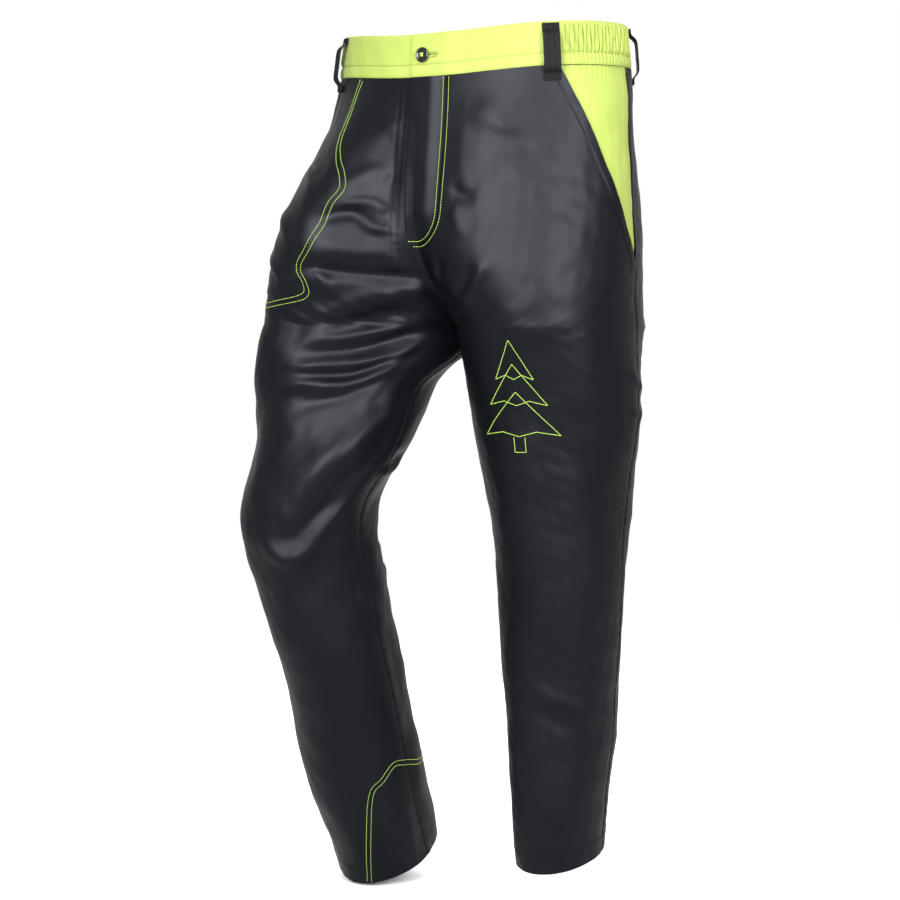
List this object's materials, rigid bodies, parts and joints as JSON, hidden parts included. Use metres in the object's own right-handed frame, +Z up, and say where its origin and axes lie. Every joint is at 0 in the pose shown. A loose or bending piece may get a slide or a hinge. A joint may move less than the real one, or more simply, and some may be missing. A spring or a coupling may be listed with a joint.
{
  "type": "work trousers",
  "caption": "Front-padded chainsaw protection trousers, worn shape with one knee bent: waistband, belt loops, zip fly, button, slant pockets and pad plies.",
  "frame": {"origin": "centre of the waist opening, level with the waistband's top edge", "axes": "+Z up out of the waist opening, -Y the way the wearer faces, +X the wearer's left"},
  "size_m": [0.4513, 0.376, 1.0658],
  "materials": {
    "satin": "satin weave, black",
    "yellow_cloth": "matt, fluorescent yellow",
    "elastic": "knitted, white",
    "loop_twill": "matt twill, black",
    "pocket_cloth": "plain weave, dark grey",
    "pad_fibre": "loose knitted fibre, off-white",
    "lining_mesh": "warp knit, grey",
    "zip_tape": "woven tape, black",
    "zip_brass": "bright",
    "button_plastic": "polished",
    "thread": "polyester thread, yellow-green"
  },
  "bodies": {
    "trousers": {"back_panel_left": "satin", "back_panel_right": "satin", "belt_loop_back": "loop_twill", "belt_loop_front_left": "loop_twill", "belt_loop_front_right": "loop_twill", "belt_loop_side_left": "loop_twill", "belt_loop_side_right": "loop_twill", "cut_pad_left_1": "pad_fibre", "cut_pad_left_2": "pad_fibre", "cut_pad_left_3": "pad_fibre", "cut_pad_right_1": "pad_fibre", "cut_pad_right_2": "pad_fibre", "cut_pad_right_3": "pad_fibre", "fly_facing": "satin", "fly_shield": "satin", "front_panel_left": "satin", "front_panel_right": "satin", "hem_facing_left": "satin", "hem_facing_right": "satin", "lining_front_left": "lining_mesh", "lining_front_right": "lining_mesh", "pocket_bag_left": "pocket_cloth", "pocket_bag_right": "pocket_cloth", "pocket_facing_left": "yellow_cloth", "pocket_facing_right": "yellow_cloth", "waist_elastic_left": "elastic", "waist_elastic_right": "elastic", "waistband_back": "yellow_cloth", "waistband_front_left": "yellow_cloth", "waistband_front_right": "yellow_cloth", "waistband_side_left": "yellow_cloth", "waistband_side_right": "yellow_cloth", "zip_stop_bottom": "zip_brass", "zip_stop_top_left": "zip_brass", "zip_stop_top_right": "zip_brass", "zip_tape_left": "zip_tape", "zip_tape_right": "zip_tape", "zip_teeth_left": "zip_brass", "zip_teeth_right": "zip_brass"},
    "fly": {"fly_flap": "satin"},
    "slider": {"zip_slider": "zip_brass"},
    "pull": {"zip_pull": "zip_brass"},
    "button": {"waist_button": "button_plastic", "button_thread": "thread"}
  },
  "joints": [
    {"name": "zip_slide", "type": "slide", "parent": "trousers", "child": "slider", "axis": [0, -0.082, -0.9966], "range_m": [0, 0.118]},
    {"name": "pull_swing", "type": "hinge", "parent": "slider", "child": "pull", "pos_m": [0, -0.13305, -0.07658], "axis": [0, 0.9966, -0.082], "range_deg": [-25, 12]},
    {"name": "fly_open", "type": "hinge", "parent": "trousers", "child": "fly", "pos_m": [0.0346, -0.1369, -0.1408], "axis": [0.0036, 0.1021, 0.9948], "range_deg": [0, 25]},
    {"name": "button_rock", "type": "hinge", "parent": "trousers", "child": "button", "pos_m": [0.00401, -0.13064, -0.03691], "axis": [0.0242, -0.0365, -0.999], "range_deg": [-8, 8]}
  ]
}
